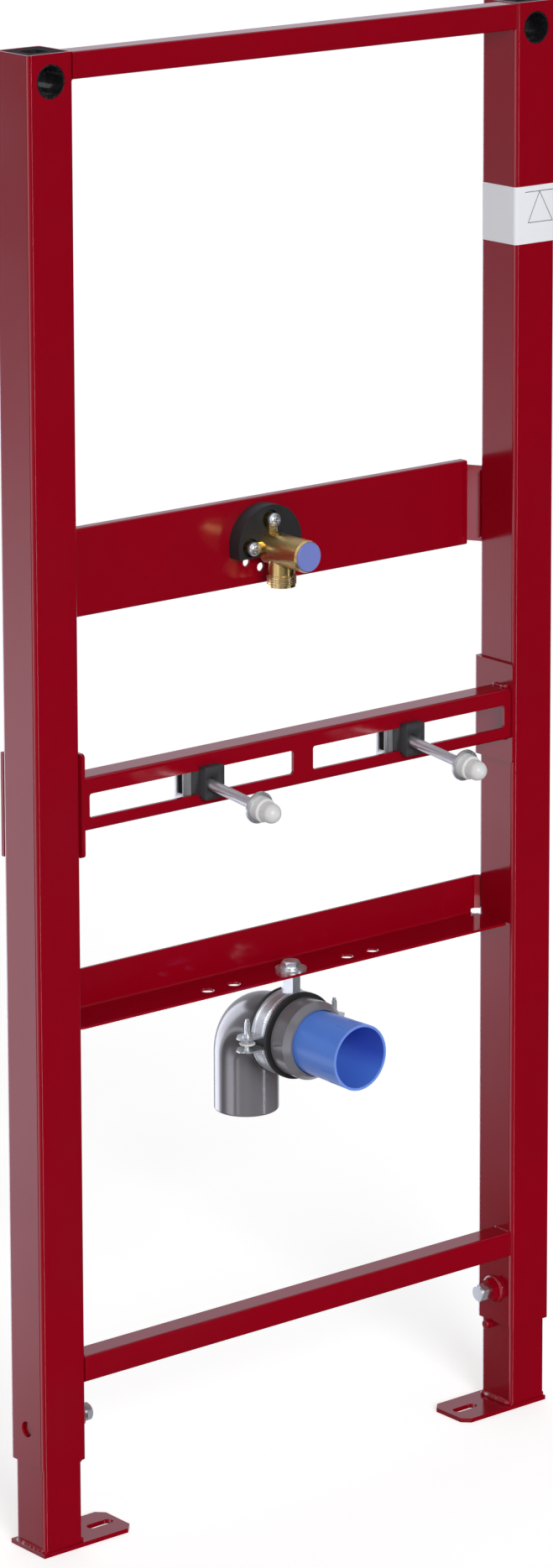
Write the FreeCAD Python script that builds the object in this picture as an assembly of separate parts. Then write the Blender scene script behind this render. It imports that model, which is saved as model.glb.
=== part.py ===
import FreeCAD, Part
import math
import os

# Mounting frame for a wall urinal. All lengths are millimetres.
# X runs along the width with 0 at the middle. Y runs from the room towards the wall.
# Y = 0 is the line of the two floor slots. Z = 0 is the floor.

V = FreeCAD.Vector

# Whole frame
FRAME_W = 500.0
FRAME_TOP = 1120.0
FLOOR_PLATE_T = 3.5

# Uprights, square tube
TUBE = 40.0
TUBE_T = 2.0
TUBE_R = 3.0
UPRIGHT_Y = -2.0
UPRIGHT_BOTTOM = 69.0
POST_X = FRAME_W / 2.0 - TUBE / 2.0
INNER_X = POST_X - TUBE / 2.0
FRONT_Y = UPRIGHT_Y - TUBE / 2.0
BACK_Y = UPRIGHT_Y + TUBE / 2.0
RECESS_D = 25.0
RECESS_DEPTH = 20.0
INSERT_RIM = 10.0
RECESS_BELOW_TOP = 20.0
SIDE_HOLE_D = 12.0
LOCK_Z = 96.0

# Cross tubes, welded between the uprights
BAR = 20.0
BAR_T = 1.5
BAR_R = 2.0
BAR_SETBACK = 0.5
BAR_Y0 = FRONT_Y + BAR_SETBACK
TOP_BAR_Z = FRAME_TOP - BAR - 0.5
BOTTOM_BAR_Z = 128.0

# Slotted fixing channel with its two brackets
CHANNEL_H = 40.0
CHANNEL_T = 2.5
CHANNEL_R = 3.0
CHANNEL_Z = 548.0
CHANNEL_DEPTH = 20.0
BRACKET_T = 3.0
BRACKET_H = 78.0
BRACKET_LIP = 2.0
SLOT_H = 18.0
SLOT_Z = 566.7
SLOT_X0 = 9.5
SLOT_END_WEB = 9.0
SLOT_X1 = INNER_X - SLOT_END_WEB
SLOT_R = 2.0

# Valve plate, folded sheet standing behind the uprights
PLATE_Y = 28.5
PLATE_T = 2.0
PLATE_Z = 726.8
PLATE_H = 66.5
PLATE_END_GAP = 4.0
PLATE_HALF = INNER_X - PLATE_END_GAP
PLATE_FOLD = 8.0
TAB_REACH = 32.0
TAB_END = INNER_X + TAB_REACH
TAB_H = 59.5
VALVE_HOLE_R = 3.25
VALVE_PITCH_R = 19.4
VALVE_Z = 725.6

# Valve elbow with its backing disc and cap
BACKING_R = 30.4
BACKING_T = 12.0
BACKING_CUT = 8.4
BARREL_R = 12.25
BARREL_Z = 723.6
BARREL_FRONT = -28.2
CAP_R = 11.2
THREAD_Y = 3.5
THREAD_R = 10.48
THREAD_L = 9.0
THREAD_END = 696.1
NECK_R = 9.8
EAR_R = 5.0
EAR_SINK = 3.0
EAR_POCKET_R = 7.2
MOUTH_BEVEL = 2.2
VALVE_BORE_R = 7.5
SCREW_HEAD_R = 5.4
SCREW_HEAD_T = 4.4

# Drain angle
ANGLE_T = 2.0
ANGLE_TOP = 400.0
ANGLE_RISE = 29.6
ANGLE_Y = 21.0
ANGLE_FRONT = -18.0
ANGLE_END_GAP = 2.0
ANGLE_HALF = INNER_X - ANGLE_END_GAP
ANGLE_HOLE_R = 5.25
ANGLE_HOLE_A = 55.2
ANGLE_HOLE_B = 80.4
HANG_Y = -6.0

# Drain pipework and its clamp
DRAIN_Z = 350.8
PIPE_R = 25.0
PIPE_T = 2.5
BEND_R = 28.0
SPIGOT_Y = 48.0
SPIGOT_END = 277.8
SOCKET_R = 28.0
SOCKET_BORE_R = 25.4
SOCKET_FRONT = -30.0
SOCKET_BACK = 10.0
COLLAR_R = 30.3
COLLAR_BACK = -17.8
COLLAR_FRONT = -38.0
LINING_T = 3.0
LINING_W = 22.0
BAND_T = 2.0
BAND_W = 16.0
LUG_END = 51.5
LUG_T = 1.2
LUG_GAP = 8.6
LUG_CORNER = 6.0
LUG_SCREW_X = 42.5
LUG_SCREW_R = 2.0
LUG_RING_R = 6.0
PLUG_FRONT = -87.4
PLUG_REAR = 4.0
PLUG_R_FRONT = 25.3
PLUG_R_REAR = 24.3
PLUG_T = 2.0

# Fixing studs, their clips and sliding cages, placed as seen
STUD_LEFT_X = -94.0
STUD_RIGHT_X = 101.0
STUD_LEFT_WASHER_Y = -84.0
STUD_RIGHT_WASHER_Y = -89.0
STUD_R = 4.0
STUD_DROOP = 6.0
DROOP_Y = -20.0
CLIP_W = 19.0
CLIP_H = 24.6
CLIP_HEAD_LEFT = 5.8
CLIP_HEAD_RIGHT = 12.2
CLIP_FRONT = -29.5
CLIP_RECESS_R = 5.2
CAGE_LEFT = -29.3
CAGE_RIGHT = 9.3
CAGE_H = 31.0
CAGE_T = 1.5
CAGE_DEPTH = 14.0
CAGE_WINDOW = 7.0
WASHER_R = 12.0
WASHER_T = 2.0
CAP_BASE_R = 9.2
CAP_DOME_R = 7.5

# Telescopic legs and foot plates
LEG = 35.0
LEG_T = 2.0
LEG_R = 2.5
LEG_TOP = 332.0
FOOT_Y0 = -20.5
FOOT_Y1 = 20.5
FOOT_REACH_IN = 65.5
FOOT_REACH_OUT = 18.5
FOOT_INNER = POST_X - FOOT_REACH_IN
FOOT_OUTER = POST_X + FOOT_REACH_OUT
FOOT_CUT = 6.0
FOOT_SLOT_IN = 48.5
FOOT_SLOT_X = POST_X - FOOT_SLOT_IN
FOOT_SLOT_L = 23.0
FOOT_SLOT_W = 8.0

# Fasteners
HEX_M8 = 13.0
HEX_LOCK_NUT = 17.0
BOLT_R = 3.95
SEAT = 0.1


def box(x0, x1, y0, y1, z0, z1):
    """Straight block between two corners."""
    return Part.makeBox(x1 - x0, y1 - y0, z1 - z0, V(x0, y0, z0))


def rod(r, base, direction, length):
    """Round bar from a base point along a direction."""
    return Part.makeCylinder(r, length, base, direction)


def mirrored(shape):
    """Same piece on the other side of the middle plane."""
    return shape.mirror(V(0, 0, 0), V(1, 0, 0))


def rounded_face(w, h, r):
    """Rectangle with round corners, centred on the origin of the XY plane."""
    a = w / 2.0
    b = h / 2.0
    k = r * (1.0 - math.sqrt(0.5))
    edges = []
    corners = [(a, b, 1, 1), (-a, b, -1, 1), (-a, -b, -1, -1), (a, -b, 1, -1)]
    starts = [V(a, b - r, 0), V(-a + r, b, 0), V(-a, -b + r, 0), V(a - r, -b, 0)]
    ends = [V(a - r, b, 0), V(-a, b - r, 0), V(-a + r, -b, 0), V(a, -b + r, 0)]
    for i in range(4):
        cx, cy, sx, sy = corners[i]
        middle = V(cx - sx * k, cy - sy * k, 0)
        edges.append(Part.Arc(starts[i], middle, ends[i]).toShape())
        edges.append(Part.makeLine(ends[i], starts[(i + 1) % 4]))
    return Part.Face(Part.Wire(edges))


def square_tube(w, h, t, r, length):
    """Rounded rectangular tube along Z from the origin."""
    outer = rounded_face(w, h, r).extrude(V(0, 0, length))
    inner = rounded_face(w - 2 * t, h - 2 * t, max(r - t, 0.6)).extrude(V(0, 0, length))
    return outer.cut(inner)


def polygon_x(points, x0, x1):
    """Closed outline in the YZ plane, pushed along X."""
    pts = [V(x0, y, z) for y, z in points]
    face = Part.Face(Part.makePolygon(pts + [pts[0]]))
    return face.extrude(V(x1 - x0, 0, 0))


def polygon_z(points, z0, z1):
    """Closed outline in the XY plane, pushed along Z."""
    pts = [V(x, y, z0) for x, y in points]
    face = Part.Face(Part.makePolygon(pts + [pts[0]]))
    return face.extrude(V(0, 0, z1 - z0))


def hexagon(flats, base, direction, length, turn=0.0):
    """Hexagonal bar of a width across flats from a base point."""
    r = flats / math.sqrt(3.0)
    pts = []
    for i in range(6):
        angle = math.radians(60.0 * i + turn)
        pts.append(V(r * math.cos(angle), r * math.sin(angle), 0))
    bar = Part.Face(Part.makePolygon(pts + [pts[0]])).extrude(V(0, 0, length))
    turned = FreeCAD.Rotation(V(0, 0, 1), direction)
    bar.Placement = FreeCAD.Placement(base, turned)
    return bar


def long_edges(shape, axis, minimum):
    """Straight edges along one axis that are at least as long as a minimum."""
    found = []
    for edge in shape.Edges:
        if len(edge.Vertexes) != 2 or edge.Length < minimum:
            continue
        d = edge.Vertexes[1].Point - edge.Vertexes[0].Point
        if abs(abs(d.dot(axis)) - edge.Length) < 1e-6:
            found.append(edge)
    return found


def revolve_y(points, x, z):
    """Ring from an outline of radius and Y, turned around a line along Y."""
    pts = [V(x + r, y, z) for r, y in points]
    face = Part.Face(Part.makePolygon(pts + [pts[0]]))
    return face.revolve(V(x, 0, z), V(0, 1, 0), 360)


def upright():
    """Right upright with the top recess, the side hole and the lock hole."""
    tube = square_tube(TUBE, TUBE, TUBE_T, TUBE_R, FRAME_TOP - UPRIGHT_BOTTOM)
    tube.translate(V(POST_X, UPRIGHT_Y, UPRIGHT_BOTTOM))
    recess_z = FRAME_TOP - RECESS_BELOW_TOP
    front = V(POST_X, FRONT_Y - 1, recess_z)
    tube = tube.cut(rod(RECESS_D / 2.0, front, V(0, 1, 0), TUBE_T + 2))
    side = V(FRAME_W / 2.0 - TUBE_T - 1, UPRIGHT_Y, LOCK_Z)
    tube = tube.cut(rod(SIDE_HOLE_D / 2.0, side, V(1, 0, 0), TUBE_T + 2))
    lock = V(INNER_X - 1, UPRIGHT_Y, LOCK_Z)
    return tube.cut(rod(BOLT_R + SEAT, lock, V(1, 0, 0), TUBE_T + 2))


def top_plug():
    """Plastic insert in an upright, with a pocket on top and a deep round front bore."""
    side = TUBE - 2 * TUBE_T - 2 * SEAT
    bottom = FRAME_TOP - 44.0
    top = FRAME_TOP - 0.4
    body = rounded_face(side, side, 1.0).extrude(V(0, 0, top - bottom))
    body.translate(V(POST_X, UPRIGHT_Y, bottom))
    open_side = side - 2 * INSERT_RIM
    pocket = rounded_face(open_side, open_side, 2.0).extrude(V(0, 0, 8))
    pocket.translate(V(POST_X, UPRIGHT_Y, top - 5.0))
    body = body.cut(pocket)
    hollow = rounded_face(side - 5, side - 5, 2.0).extrude(V(0, 0, 12))
    hollow.translate(V(POST_X, UPRIGHT_Y, bottom - 1))
    body = body.cut(hollow)
    z = FRAME_TOP - RECESS_BELOW_TOP
    outer = RECESS_D / 2.0 - SEAT
    body = body.fuse(rod(outer, V(POST_X, FRONT_Y + 0.3, z), V(0, 1, 0), RECESS_DEPTH + 2))
    bore = rod(outer - 1.4, V(POST_X, FRONT_Y - 1, z), V(0, 1, 0), RECESS_DEPTH + 1)
    return body.cut(bore).removeSplitter()


def cross_tube(z):
    """Square tube lying between the uprights."""
    tube = square_tube(BAR, BAR, BAR_T, BAR_R, 2 * INNER_X)
    tube.rotate(V(0, 0, 0), V(0, 1, 0), 90)
    tube.translate(V(-INNER_X, BAR_Y0 + BAR / 2.0, z + BAR / 2.0))
    return tube


def fixing_channel():
    """Channel open to the wall with two long slots in its front web."""
    y0 = BAR_Y0
    y1 = y0 + CHANNEL_DEPTH
    z0 = CHANNEL_Z
    z1 = z0 + CHANNEL_H
    t = CHANNEL_T
    half = INNER_X - BRACKET_T
    outline = [(y0, z0), (y1, z0), (y1, z0 + t), (y0 + t, z0 + t)]
    outline += [(y0 + t, z1 - t), (y1, z1 - t), (y1, z1), (y0, z1)]
    bar = polygon_x(outline, -half, half)
    corners = []
    for edge in long_edges(bar, V(1, 0, 0), half):
        if abs(edge.Vertexes[0].Point.y - y0) < 1e-6:
            corners.append(edge)
    bar = bar.makeFillet(CHANNEL_R, corners)
    slot = rounded_face(SLOT_X1 - SLOT_X0, SLOT_H, SLOT_R).extrude(V(0, 0, 3 * t))
    slot.rotate(V(0, 0, 0), V(1, 0, 0), 90)
    slot.translate(V((SLOT_X0 + SLOT_X1) / 2.0, y0 + 2 * t, SLOT_Z))
    return bar.cut(slot).cut(mirrored(slot))


def bracket():
    """Right bracket, one leg on the inner face and one behind the upright."""
    z0 = CHANNEL_Z + CHANNEL_H / 2.0 - BRACKET_H / 2.0
    z1 = z0 + BRACKET_H
    front = FRONT_Y - BRACKET_LIP
    back = BACK_Y + BRACKET_T
    x0 = INNER_X - BRACKET_T
    outer = FRAME_W / 2.0 - 0.5
    outline = [(x0, front), (INNER_X, front), (INNER_X, BACK_Y)]
    outline += [(outer, BACK_Y), (outer, back), (x0, back)]
    piece = polygon_z(outline, z0, z1)
    fold = []
    for edge in long_edges(piece, V(0, 0, 1), BRACKET_H - 1):
        p = edge.Vertexes[0].Point
        if abs(p.x - x0) < 1e-6 and abs(p.y - back) < 1e-6:
            fold.append(edge)
    piece = piece.makeFillet(BRACKET_T, fold)
    corners = []
    for edge in long_edges(piece, V(1, 0, 0), BRACKET_T - 0.1):
        p = edge.Vertexes[0].Point
        if abs(p.y - front) < 1e-6 and edge.Length < BRACKET_T + 0.1:
            corners.append(edge)
    return piece.makeFillet(3.0, corners)


def joggled_end(front_y, t, flat_end, z0, z1):
    """Right end of a sheet that steps forward on to the back of an upright."""
    seat = INNER_X + 2.0
    outline = [(flat_end - 4, front_y), (flat_end, front_y), (seat, BACK_Y)]
    outline += [(TAB_END, BACK_Y), (TAB_END, BACK_Y + t), (seat + 0.6 * t, BACK_Y + t)]
    outline += [(flat_end + 0.6 * t, front_y + t), (flat_end - 4, front_y + t)]
    return polygon_z(outline, z0, z1)


def valve_plate():
    """Folded sheet with stepped ends and a ring of eight holes."""
    z0 = PLATE_Z - PLATE_H / 2.0
    z1 = z0 + PLATE_H
    y0 = PLATE_Y
    y1 = y0 + PLATE_FOLD
    t = PLATE_T
    outline = [(y0, z0), (y1, z0), (y1, z0 + t), (y0 + t, z0 + t)]
    outline += [(y0 + t, z1 - t), (y1, z1 - t), (y1, z1), (y0, z1)]
    plate = polygon_x(outline, -PLATE_HALF, PLATE_HALF)
    folds = []
    for edge in long_edges(plate, V(1, 0, 0), PLATE_HALF):
        if abs(edge.Vertexes[0].Point.y - y0) < 1e-6:
            folds.append(edge)
    plate = plate.makeFillet(t, folds)
    end = joggled_end(y0, t, PLATE_HALF, PLATE_Z - TAB_H / 2.0, PLATE_Z + TAB_H / 2.0)
    plate = plate.fuse(end).fuse(mirrored(end))
    for i in range(8):
        angle = math.radians(45.0 * i)
        x = VALVE_PITCH_R * math.cos(angle)
        z = VALVE_Z + VALVE_PITCH_R * math.sin(angle)
        plate = plate.cut(rod(VALVE_HOLE_R, V(x, y0 - 1, z), V(0, 1, 0), t + 2))
    return plate.removeSplitter()


def valve_backing():
    """Thick disc behind the valve, cut straight across near its foot."""
    y0 = PLATE_Y - BACKING_T
    disc = rod(BACKING_R, V(0, y0, VALVE_Z), V(0, 1, 0), BACKING_T)
    low = VALVE_Z - BACKING_CUT
    wide = 2.0 * BACKING_R
    disc = disc.cut(box(-wide, wide, y0 - 1, PLATE_Y + 1, low - wide, low))
    for x, z in valve_screw_places():
        disc = disc.cut(rod(VALVE_HOLE_R, V(x, y0 - 1, z), V(0, 1, 0), BACKING_T + 2))
        disc = disc.cut(rod(EAR_POCKET_R, V(x, y0 - 1, z), V(0, 1, 0), 1 + EAR_SINK))
    return disc


def valve_screw_places():
    """Centres of the two screws that hold the valve."""
    r = VALVE_PITCH_R
    return [(0.0, VALVE_Z + r), (-r, VALVE_Z)]


def valve_elbow():
    """Brass body, a barrel towards the room and a threaded neck pointing down."""
    y0 = PLATE_Y - BACKING_T
    flange_t = 3.5
    z = BARREL_Z
    lip = BARREL_R - 0.75
    outline = [(0, BARREL_FRONT), (lip, BARREL_FRONT), (BARREL_R, BARREL_FRONT + MOUTH_BEVEL)]
    body = revolve_y(outline + [(BARREL_R, y0), (0, y0)], 0, z)
    for x, sz in valve_screw_places():
        lug = rod(EAR_R, V(x, y0 - flange_t, sz), V(0, 1, 0), flange_t + EAR_SINK)
        reach = V(x, 0, sz - VALVE_Z)
        turn = math.degrees(math.atan2(reach.z, reach.x))
        web = box(0, VALVE_PITCH_R, y0 - flange_t, y0, 0.8 - EAR_R, EAR_R - 0.8)
        web.rotate(V(0, 0, 0), V(0, 1, 0), -turn)
        web.translate(V(0, 0, VALVE_Z))
        body = body.fuse(lug).fuse(web)
    neck_top = BARREL_Z - THREAD_END
    body = body.fuse(rod(NECK_R, V(0, THREAD_Y, THREAD_END), V(0, 0, 1), neck_top))
    thread = rod(THREAD_R, V(0, THREAD_Y, THREAD_END), V(0, 0, 1), THREAD_L)
    body = body.fuse(thread).removeSplitter()
    front = V(0, BARREL_FRONT - 1, z)
    body = body.cut(rod(VALVE_BORE_R, front, V(0, 1, 0), THREAD_Y - BARREL_FRONT + 1))
    body = body.cut(rod(CAP_R + SEAT, front, V(0, 1, 0), 7.0))
    foot = V(0, THREAD_Y, THREAD_END - 1)
    body = body.cut(rod(VALVE_BORE_R, foot, V(0, 0, 1), neck_top + 1))
    for x, sz in valve_screw_places():
        start = V(x, y0 - flange_t - 1, sz)
        body = body.cut(rod(2.9, start, V(0, 1, 0), flange_t + EAR_SINK + 2))
    return body


def valve_cap():
    """Push-in protection cap in the mouth of the barrel."""
    y = BARREL_FRONT
    z = BARREL_Z
    outline = [(0, y - 1.2), (CAP_R - 0.7, y - 1.2), (CAP_R, y - 0.5), (CAP_R, y + 5.9)]
    outline += [(CAP_R - 1.5, y + 5.9), (CAP_R - 1.5, y + 1.6), (0, y + 1.6)]
    return revolve_y(outline, 0, z)


def valve_screw(x, z):
    """Round-headed screw through the valve flange into the plate."""
    y0 = PLATE_Y - BACKING_T - 3.5
    head = rod(SCREW_HEAD_R, V(x, y0 - SCREW_HEAD_T, z), V(0, 1, 0), SCREW_HEAD_T)
    front = y0 - SCREW_HEAD_T + 0.1
    head = head.makeFillet(3.4, [e for e in head.Edges if e.BoundBox.YMax < front])
    shank = rod(2.8, V(x, y0, z), V(0, 1, 0), PLATE_Y + PLATE_T + 3 - y0)
    slot = box(x - 2.6, x + 2.6, y0 - 6, y0 - 2.4, z - 0.5, z + 0.5)
    cross = box(x - 0.5, x + 0.5, y0 - 6, y0 - 2.4, z - 2.6, z + 2.6)
    return head.fuse(shank).cut(slot).cut(cross).removeSplitter()


def drain_angle():
    """Angle with its flat leg towards the room and stepped ends at the back."""
    top = ANGLE_TOP
    low = top - ANGLE_T
    back = ANGLE_Y + ANGLE_T
    high = top + ANGLE_RISE
    outline = [(ANGLE_FRONT, low), (back, low), (back, high), (ANGLE_Y, high)]
    outline += [(ANGLE_Y, top), (ANGLE_FRONT, top)]
    bar = polygon_x(outline, -ANGLE_HALF, ANGLE_HALF)
    outer = []
    for edge in long_edges(bar, V(1, 0, 0), ANGLE_HALF):
        p = edge.Vertexes[0].Point
        if abs(p.y - back) < 1e-6 and abs(p.z - low) < 1e-6:
            outer.append(edge)
    bar = bar.makeFillet(ANGLE_T + 1.5, outer)
    inner = []
    for edge in long_edges(bar, V(1, 0, 0), ANGLE_HALF):
        p = edge.Vertexes[0].Point
        if abs(p.y - ANGLE_Y) < 1e-6 and abs(p.z - top) < 1e-6:
            inner.append(edge)
    bar = bar.makeFillet(1.5, inner)
    corners = []
    for edge in long_edges(bar, V(0, 0, 1), ANGLE_T - 0.1):
        p = edge.Vertexes[0].Point
        if abs(p.y - ANGLE_FRONT) < 1e-6 and edge.Length < ANGLE_T + 0.1:
            corners.append(edge)
    bar = bar.makeFillet(2.5, corners)
    end = joggled_end(ANGLE_Y, ANGLE_T, ANGLE_HALF, top + 3.0, high)
    notch = rod(4.0, V(ANGLE_HALF + 0.5, ANGLE_Y - 0.5, low - 1), V(0, 0, 1), ANGLE_T + 5)
    bar = bar.cut(notch).cut(mirrored(notch))
    bar = bar.fuse(end).fuse(mirrored(end))
    places = [0.0, ANGLE_HOLE_A, -ANGLE_HOLE_A, ANGLE_HOLE_B, -ANGLE_HOLE_B]
    for x in places:
        r = ANGLE_HOLE_R if x else BOLT_R + 0.4
        bar = bar.cut(rod(r, V(x, HANG_Y, low - 1), V(0, 0, 1), ANGLE_T + 2))
    return bar.removeSplitter()


def band_outer_r():
    """Outer radius of the clamp band."""
    return SOCKET_R + LINING_T + BAND_T


def hanging_bolt():
    """Hexagon bolt that carries the pipe clamp."""
    seat = ANGLE_TOP + WASHER_T
    head = hexagon(HEX_M8, V(0, HANG_Y, seat), V(0, 0, 1), 5.5, 22.0)
    cone = Part.makeCone(10.5, 5.2, 7.0, V(0, HANG_Y, seat - 0.5), V(0, 0, 1))
    head = head.common(cone)
    low = DRAIN_Z + band_outer_r() + 2.0
    shank = rod(BOLT_R, V(0, HANG_Y, low), V(0, 0, 1), seat - low)
    flange = rod(8.2, V(0, HANG_Y, seat), V(0, 0, 1), 1.2)
    return head.fuse(shank).fuse(flange).removeSplitter()


def hanging_washer():
    """Broad washer under the head of the bolt."""
    base = V(0, HANG_Y, ANGLE_TOP)
    disc = rod(WASHER_R, base, V(0, 0, 1), WASHER_T)
    return disc.cut(rod(BOLT_R + 0.4, base - V(0, 0, 1), V(0, 0, 1), WASHER_T + 2))


def clamp_coupling():
    """Long hexagon nut between the angle and the clamp band."""
    low = DRAIN_Z + band_outer_r() - 0.6
    high = ANGLE_TOP - ANGLE_T
    nut = hexagon(HEX_M8, V(0, HANG_Y, low), V(0, 0, 1), high - low, 2.0)
    nut = nut.cut(rod(band_outer_r(), V(0, HANG_Y - 20, DRAIN_Z), V(0, 1, 0), 40))
    bore = V(0, HANG_Y, DRAIN_Z + band_outer_r() + 1.0)
    return nut.cut(rod(BOLT_R + 0.05, bore, V(0, 0, 1), 40))


def clamp_half(sign):
    """Half band of the pipe clamp with a lug on each side."""
    ring = revolve_y(
        [
            (band_outer_r() - BAND_T, HANG_Y - BAND_W / 2.0),
            (band_outer_r(), HANG_Y - BAND_W / 2.0),
            (band_outer_r(), HANG_Y + BAND_W / 2.0),
            (band_outer_r() - BAND_T, HANG_Y + BAND_W / 2.0),
        ],
        0,
        DRAIN_Z,
    )
    gap = LUG_GAP / 2.0
    y0 = HANG_Y - BAND_W / 2.0
    y1 = HANG_Y + BAND_W / 2.0
    keep = box(-50, 50, y0 - 1, y1 + 1, DRAIN_Z + gap, DRAIN_Z + 60)
    half = ring.common(keep)
    inner = band_outer_r() - BAND_T * 0.6
    lug = box(inner, LUG_END, y0, y1, DRAIN_Z + gap, DRAIN_Z + gap + LUG_T)
    rounds = []
    for edge in long_edges(lug, V(0, 0, 1), LUG_T - 0.1):
        if edge.Vertexes[0].Point.x > LUG_END - 1:
            rounds.append(edge)
    lug = lug.makeChamfer(LUG_CORNER, rounds)
    hole = V(LUG_SCREW_X, HANG_Y, DRAIN_Z)
    lug = lug.cut(rod(LUG_SCREW_R + SEAT, hole, V(0, 0, 1), 20))
    half = half.fuse(lug).fuse(mirrored(lug)).removeSplitter()
    if sign < 0:
        half = half.mirror(V(0, 0, DRAIN_Z), V(0, 0, 1))
    return half


def clamp_lining():
    """Rubber lining with raised rims, split on one side."""
    y0 = HANG_Y - LINING_W / 2.0
    y1 = HANG_Y + LINING_W / 2.0
    r0 = SOCKET_R
    r1 = SOCKET_R + LINING_T
    rim = BAND_T + 0.4
    b0 = HANG_Y - BAND_W / 2.0 - 0.3
    b1 = HANG_Y + BAND_W / 2.0 + 0.3
    outline = [(r0, y0), (r1 + rim, y0), (r1 + rim, b0), (r1, b0)]
    outline += [(r1, b1), (r1 + rim, b1), (r1 + rim, y1), (r0, y1)]
    ring = revolve_y(outline, 0, DRAIN_Z)
    return ring.cut(box(0, 50, y0 - 1, y1 + 1, DRAIN_Z - 1.5, DRAIN_Z + 1.5))


def clamp_screw():
    """Right clamp screw, its head below and its end standing above the lugs."""
    x = LUG_SCREW_X
    low = DRAIN_Z - LUG_GAP / 2.0 - LUG_T
    shank = rod(LUG_SCREW_R, V(x, HANG_Y, low), V(0, 0, 1), 22.2)
    tip = rod(LUG_SCREW_R - 0.5, V(x, HANG_Y, low + 22.0), V(0, 0, 1), 2.2)
    head = rod(4.6, V(x, HANG_Y, low - 1.4), V(0, 0, 1), 1.4)
    head = head.makeFillet(0.8, [e for e in head.Edges if e.BoundBox.ZMax < low - 1.3])
    collar = rod(3.6, V(x, HANG_Y, DRAIN_Z + LUG_GAP / 2.0 + LUG_T), V(0, 0, 1), 1.4)
    return shank.fuse(tip).fuse(head).fuse(collar).removeSplitter()


def clamp_ring():
    """Right plastic ring that keeps the clamp screw between the lugs."""
    base = V(LUG_SCREW_X, HANG_Y, DRAIN_Z - 0.8)
    disc = rod(LUG_RING_R, base, V(0, 0, 1), 1.6)
    disc = disc.makeFillet(0.6, [e for e in disc.Edges if e.Length > 2.0 * LUG_RING_R + 5])
    return disc.cut(rod(LUG_SCREW_R + SEAT, base - V(0, 0, 1), V(0, 0, 1), 4))


def pipe_path_solid(r_pipe, r_socket, low, front, step):
    """Spigot, bend and socket as one solid of the given radii."""
    z = DRAIN_Z
    y = SPIGOT_Y
    bend_bottom = z - BEND_R
    spigot = rod(r_pipe, V(0, y, low), V(0, 0, 1), bend_bottom - low)
    profile = Part.Face(Part.Wire(Part.makeCircle(r_pipe, V(0, y, bend_bottom), V(0, 0, 1))))
    centre = V(0, y - BEND_R, bend_bottom)
    bend = profile.revolve(centre, V(1, 0, 0), 90)
    arm = rod(r_pipe, V(0, step, z), V(0, 1, 0), y - BEND_R - step)
    socket = rod(r_socket, V(0, front, z), V(0, 1, 0), step - front)
    return spigot.fuse(bend).fuse(arm).fuse(socket).removeSplitter()


def drain_elbow():
    """Ninety degree pipe bend with a socket to the room and a spigot down."""
    outer = pipe_path_solid(PIPE_R, SOCKET_R, SPIGOT_END, SOCKET_FRONT, SOCKET_BACK)
    rims = []
    for edge in outer.Edges:
        b = edge.BoundBox
        if b.ZMax < SPIGOT_END + 0.1 and b.XLength > PIPE_R:
            rims.append(edge)
    outer = outer.makeFillet(1.8, rims)
    inner = pipe_path_solid(
        PIPE_R - PIPE_T, SOCKET_BORE_R, SPIGOT_END - 1, SOCKET_FRONT - 1, SOCKET_BACK - 4
    )
    return outer.cut(inner)


def drain_collar():
    """Ring on the mouth of the socket, with a bevelled front."""
    bore = SOCKET_R + SEAT
    lip = PLUG_R_REAR + 0.6
    outline = [(bore, COLLAR_BACK), (COLLAR_R - 1, COLLAR_BACK), (COLLAR_R, COLLAR_BACK - 1)]
    outline += [(COLLAR_R, COLLAR_FRONT + 5), (COLLAR_R - 3.6, COLLAR_FRONT)]
    outline += [(lip, COLLAR_FRONT), (lip, SOCKET_FRONT - SEAT), (bore, SOCKET_FRONT - SEAT)]
    return revolve_y(outline, 0, DRAIN_Z)


def drain_plug():
    """Tapered protection plug, open towards the room."""
    slope = (PLUG_R_REAR - PLUG_R_FRONT) / (COLLAR_FRONT - PLUG_FRONT)
    r_mouth = PLUG_R_FRONT
    r_rear = PLUG_R_REAR
    outline = [(r_mouth, PLUG_FRONT), (r_rear, COLLAR_FRONT), (r_rear, PLUG_REAR)]
    outline += [(0, PLUG_REAR), (0, PLUG_REAR - PLUG_T)]
    outline += [(r_rear - PLUG_T, PLUG_REAR - PLUG_T), (r_rear - PLUG_T, COLLAR_FRONT)]
    outline += [(r_mouth - PLUG_T, PLUG_FRONT)]
    plug = revolve_y(outline, 0, DRAIN_Z)
    for i in range(12):
        angle = 30.0 * i + 8.0
        y1 = PLUG_FRONT + 17.0
        top = r_mouth + slope * (y1 - PLUG_FRONT) + 0.35
        rib = box(-0.5, 0.5, PLUG_FRONT + 1.5, y1, r_mouth - 1.0, top)
        rib.rotate(V(0, 0, 0), V(0, 1, 0), angle)
        rib.translate(V(0, 0, DRAIN_Z))
        plug = plug.fuse(rib)
    return plug.removeSplitter()


def drooped(shape):
    """Same piece leaning towards the floor with the loosely held rod."""
    shape.rotate(V(0, DROOP_Y, SLOT_Z), V(1, 0, 0), STUD_DROOP)
    return shape


def stud_bore(y, length):
    """Cutter for the leaning rod, from a depth towards the wall."""
    return drooped(rod(STUD_R + SEAT, V(0, y, SLOT_Z), V(0, 1, 0), length))


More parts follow.
